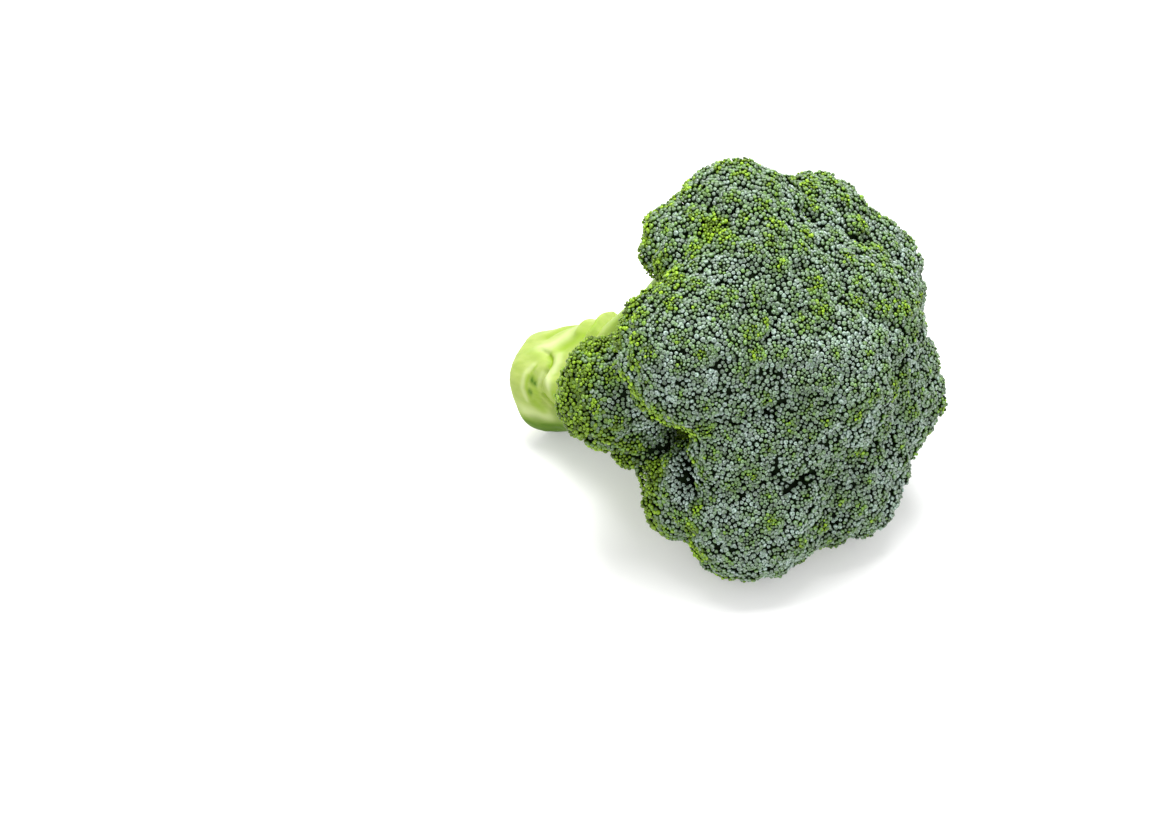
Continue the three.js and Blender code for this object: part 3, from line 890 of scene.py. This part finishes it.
# %% Scars, veins and strokes
SCARS = [  # turn, rise, half width, half height, depth: degrees and millimetres
    (-112, -97, 7.0, 3.2, 0.9),
    (62, -97, 7.5, 4.2, 1.0),
    (-20, -85, 6.5, 3.6, 0.8),
    (108, -77, 6.0, 3.2, 0.8),
]
VEINS = [(-119, -98.2, 0.9), (-115, -97, 0.6), (-107, -99.6, 0.7), (57, -98, 0.9), (70, -97, 0.8)]
STROKES = [  # height out of the skin, half width, then turns and rises along the stroke
    (1.1, 3.4, [(-152, -100), (-144, -95.5), (-134, -93.8)]),
    (-1.2, 0.8, [(-155, -97.5), (-149, -93.2), (-142, -90.4), (-134, -89.6), (-126, -90.8)]),
    (-1.0, 0.8, [(-126, -90.8), (-118, -92.8), (-112, -94)]),
    (0.9, 2.0, [(-152, -91), (-143, -87), (-132, -86.4), (-124, -88.4), (-116, -90.6)]),
    (-1.6, 0.8, [(-104, -93.8), (-94, -92.2), (-86, -90.6), (-76, -88.6)]),
    (-0.9, 0.7, [(-98, -95.4), (-90, -94), (-82, -92.4)]),
    (2.3, 4.4, [(-112, -86.5), (-105, -85.5)]),
    (0.7, 3.0, [(-156, -96), (-166, -90), (-179, -86.5), (174, -84)]),
    (-0.7, 1.9, [(-178, -99), (171, -95), (164, -91), (156, -89)]),
    (-0.8, 3.6, [(-160, -86), (-168, -81), (-174, -77)]),
    (1.1, 1.6, [(160, -83.5), (172, -82.5), (-176, -83)]),
    (2.6, 1.8, [(152, -75), (168, -74.2), (-176, -73.6), (-166, -74.4)]),
    (-1.1, 1.1, [(160, -70), (176, -70), (-170, -70.5), (-160, -73)]),
    (0.5, 2.0, [(-72, -84), (-52, -88), (-40, -96), (-44, -105)]),
    (0.9, 1.8, [(46, -90), (60, -88), (76, -91)]),
    (-1.0, 1.0, [(44, -92.4), (60, -90.6), (78, -93.2)]),
    (0.9, 1.8, [(92, -72), (108, -70), (122, -73)]),
    (-1.0, 1.0, [(92, -74.4), (108, -72.4), (122, -75.2)]),
]
print("scars:", len(SCARS), "veins:", len(VEINS), "strokes:", len(STROKES))

# %% Helpers to measure from a stroke
STALK_RADIUS = 20.5  # of the bare stalk, to lay its skin out flat


def unrolled(turn, rise, centre):
    """A place on the stalk's skin laid out flat round a centre, in millimetres."""
    return math.radians((turn - centre + 540) % 360 - 180) * STALK_RADIUS, rise


def from_way(turn, rise, way):
    """How far a place lies from a way over the stalk's skin, in millimetres."""
    nearest = math.inf
    for start, end in zip(way, way[1:]):
        x, y = unrolled(turn, rise - start[1], start[0])
        dx, dy = unrolled(end[0], end[1] - start[1], start[0])
        along = progress(x * dx + y * dy, 0, dx * dx + dy * dy)
        nearest = min(nearest, math.hypot(x - along * dx, y - along * dy))
    return nearest


print("round the bare stalk:", round(math.tau * STALK_RADIUS), "mm")

# %% [markdown]
# The colour of the skin is painted with strokes too: a deeper green in creases, which is in
# part painted shade, and where the skin is thick, paler where it is stretched thin over the
# flesh and, on ridges and bulges, as a painted highlight. A stroke of colour has a strength in
# place of a height.

# %% Strokes of colour
# in creases and hollows this deeper green is partly painted shade
GREENER = [  # strength, half width, then turns and rises: where the skin is a deeper green
    (1.0, 1.2, [(-147, -92), (-140, -89.9), (-133, -89.8)]),
    (0.5, 3.6, [(-152, -102), (-146, -97)]),
    (0.9, 0.9, [(-104, -93.6), (-94, -92.1), (-80, -89.6)]),
    (0.55, 1.8, [(179, -99), (171, -95), (164, -91)]),
    (0.8, 4.2, [(-158, -86), (-167, -80), (-173, -74)]),
    (0.9, 3.0, [(-104, -84), (-94, -86)]),
    (0.6, 2.2, [(-96, -99), (-84, -97)]),
    (0.55, 2.4, [(-122, -97.6), (-108, -97.4), (-98, -97)]),
    (0.7, 0.6, [(-134, -95.6), (-124, -99.4), (-112, -100.8), (-99, -99.8), (-90, -97.4)]),
    (1.0, 3.0, [(-78, -112), (-62, -109), (-44, -107)]),
    (0.8, 1.0, [(170, -70), (-174, -70.5), (-164, -72)]),
]
# on ridges and bulges this paleness is partly a painted highlight
PALER = [  # the same, where the skin is stretched thin over pale flesh
    (0.7, 3.0, [(-158, -98), (-164, -92), (-172, -87.5)]),
    (0.7, 1.8, [(-146, -86.6), (-136, -85.4), (-126, -86.6)]),
    (0.8, 2.2, [(-122, -88.2), (-114, -86.8)]),
    (0.5, 0.9, [(-126, -92.6), (-118, -94.4), (-113, -96)]),
    (0.6, 3.4, [(-84, -106), (-76, -101), (-72, -96)]),
    (0.5, 1.0, [(-136, -97.4), (-126, -101.4), (-112, -103), (-98, -102.2)]),
]
print("strokes of colour:", len(GREENER) + len(PALER))

# %% [markdown]
# The end was cut with a knife, so it shows the inside of the stalk: pale pith, and near the
# skin a ring of greener vessels with a finer one inside it. The underside and the branches lie
# in shade, which is painted on them as a deep green.

# %% Helpers to paint with
CUT_END = -109.2  # the rise below which the end face was cut
# painted shade on the branches: a deeper green, and the shaded tint towards the crown
BRANCH_SHADE_GREEN, BRANCH_SHADE = 0.8, 0.6


def strongest(strokes, turn, rise):
    """The strength, at a place, of the stroke that is strongest there."""
    return max(power * near(from_way(turn, rise, way), width) for power, width, way in strokes)


def branch_share(reach, rise):
    """0 on the bare stalk, 1 on a branch, and even between."""
    return max(progress(rise, -68, -54), progress(reach, 26, 34))


def cut_share(reach, rise):
    """1 on the end face, 0 on the skin round it, and even between."""
    return progress(rise, CUT_END, CUT_END - 0.8) * progress(reach, 18.2, 16.6)


ends = [cut_share(*plant_place(vertex.co)[1:]) > 0 for vertex in stalk.data.vertices]
print("points on the cut end:", sum(ends))

# %% Paint the skin


def skin_marks(point):
    """How pale, how green, how near to a vein and how shaded the skin is at a point."""
    turn, reach, rise = plant_place(point)
    shade = BRANCH_SHADE * progress(rise, -62, -40)
    on_branch = branch_share(reach, rise)
    if on_branch == 1:
        return 0, BRANCH_SHADE_GREEN, 0, shade
    pale, green, vein = strongest(PALER, turn, rise), strongest(GREENER, turn, rise), 0
    for vein_turn, vein_rise, size in VEINS:
        around, above = unrolled(turn, rise - vein_rise, vein_turn)
        vein = max(vein, near(math.hypot(0.55 * around, above), size))
    # painted shade: the underside, which faces down, is painted a deep green
    below = math.cos(math.radians(turn + 32)) + 0.22 * noise(point / (7 * MM))
    under = min(progress(below, 0.6, 0.9), progress(rise, -113, -110))
    on_cut = cut_share(reach, rise)
    grain = 1 + noise(aside(turn) * 9)
    vessels = 0.5 * near(reach - 15.2, 0.9) + 0.2 * grain * near(reach - 12.4, 0.8)
    pale += on_cut * (near(reach, 13) - pale)
    green += on_cut * (vessels - green)
    vein, under = vein * (1 - on_cut), under * (1 - on_cut)
    fade = 1 - on_branch
    # painted shade: a deeper green on the branches and the top of the bare stalk, under the crown
    green = max(green * fade, BRANCH_SHADE_GREEN * on_branch, BRANCH_SHADE_GREEN * progress(rise, -78, -58))
    return pale * fade, green, vein, max(under * fade, shade)


stalk_marks = [skin_marks(vertex.co) for vertex in stalk.data.vertices]
print("points in veins:", sum(mark[2] > 0.3 for mark in stalk_marks))

# %% Fold the skin
for vertex in stalk.data.vertices:
    turn, reach, rise = plant_place(vertex.co)
    on_branch = branch_share(reach, rise)
    if on_branch == 1:
        continue
    push = 0
    for scar_turn, scar_rise, half_width, half_height, depth in SCARS:
        around, above = unrolled(turn, rise - scar_rise, scar_turn)
        oval = math.hypot(around / half_width, (above + 0.03 * around**2) / half_height)
        rough = 0.6 * noise(vertex.co / (1.6 * MM))
        push += depth * (0.35 * near(oval - 1.15, 0.22) - (0.7 + rough) * near(oval, 0.8))
    for height, half_width, way in STROKES:
        push += height * near(from_way(turn, rise, way), half_width)
    ribs = 0.2 * math.sin(math.radians(turn * 5) + 2 * noise(Vector((rise / 30, turn / 60, 0))))
    push += ribs + 0.1 * noise(vertex.co / (4 * MM))
    on_side = progress(reach, 14, 18) if rise < -105 else 1  # the end face stays flat
    vertex.co += aside(turn) * push * (1 - on_branch) * on_side * MM
    if cut_share(reach, rise) > 0:
        vertex.co += GROWTH * 0.5 * near(reach, 11) * MM
    vertex.co.z = max(vertex.co.z, 0)
paint(stalk, "stalk_marks", stalk_marks)
stalk.data.materials.clear()
stalk.data.materials.append(stalk_skin)
apply_modifier(stalk, "SMOOTH", factor=0.5, iterations=1)
bpy.ops.object.shade_smooth()
print("lowest point of the stalk:", round(min(v.co.z for v in stalk.data.vertices) / MM, 2), "mm")

# %% [markdown]
# ## Bud stems
#
# Under its dome of buds a floret is a fan of juicy stems that part again and again. Only their
# outer ends show, between the branch and the lowest buds. One stem is modelled: a five-sided
# cone, cut across twice so that it can bend. Each copy then follows the guide skin from a
# place under the lowest buds towards the foot of its floret, bends down and melts into the
# side of the branch, so that the branch flares out into its floret.

# %% Model the stem
STEM_CUTS = (-0.17, 0.17)
stem = start_piece(
    bpy.ops.mesh.primitive_cone_add, "bud stem", vertices=5, radius1=1.0, radius2=0.6, depth=1,
    end_fill_type="TRIFAN",
)
for height in STEM_CUTS:
    edit_all(bpy.ops.mesh.bisect, plane_co=(0, 0, height), plane_no=(0, 0, 1))
STEM_POINTS, STEM_FACES = take_shape(stem)
print("faces of a bud stem:", len(STEM_FACES))

# %% The way of a stem
STEM_STEPS = len(STEM_CUTS) + 1
STEM_RUN = 0.62  # how far a stem runs towards the foot, as a share of the way
STEM_BEND = 0.6  # the share of the way where it bends down
STEM_DROP = 9.0  # how far down the branch it ends
STEM_DEPTH, STEM_END_DEPTH = 1.3, 1.5  # under the guide skin, and in the branch

branch_skin = surface_of(stalk)


def stem_way(start, owner):
    """Places along a bud stem, each with the direction that the skin faces there."""
    way = []
    for step in range(STEM_STEPS):
        target = start.lerp(owner.foot, STEM_RUN * step / STEM_STEPS)
        place, normal, _, _ = skin.find_nearest(target)
        way.append((place - normal * STEM_DEPTH * MM, normal))
    drop = STEM_DROP * chance.uniform(0.6, 1.4)
    target = start.lerp(owner.foot, STEM_BEND) - owner.axis * drop * MM
    place, normal, _, _ = branch_skin.find_nearest(target)
    return [*way, (place - normal * STEM_END_DEPTH * MM, normal)]


print("steps of a bud stem:", STEM_STEPS)

# %% Grow the stems
STEM_GAP = 2.1  # between the starts of two stems
STEM_ZONE = (0.36, 0.6)  # where stems begin, counted like the limit of the buds

stem_crowd = Crowd(4)
points, faces = [], []
for start, normal in mixed_faces:
    owner = owner_of(start)
    if not STEM_ZONE[0] < owner.lowness(start, normal) < STEM_ZONE[1]:
        continue
    if not stem_crowd.has_room(start, STEM_GAP / 2, 1):
        continue
    stem_crowd.add(start, STEM_GAP / 2)
    way = stem_way(start, owner)
    thickness = chance.uniform(0.75, 1.15)
    first = len(points)
    for x, y, z in STEM_POINTS:
        place, normal = way[round((0.5 - z) * STEM_STEPS)]
        across = normal.cross(way[-1][0] - way[0][0]).normalized()
        point = place + (across * x + normal * y) * thickness * MM
        point.z = max(point.z, 0)
        points.append(point)
    faces += [[first + index for index in face] for face in STEM_FACES]
stems = new_piece("bud stems", points, faces, juicy_stem)
print("bud stems:", len(points) // len(STEM_POINTS))

# %% Join the stalk and its stems
stalk = join_pieces([stalk, stems], "stalk_and_branches")
edit_all(bpy.ops.mesh.normals_make_consistent, inside=False)
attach(stalk, "root")
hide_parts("stalk")
print("faces of the dressed stalk:", len(stalk.data.polygons))
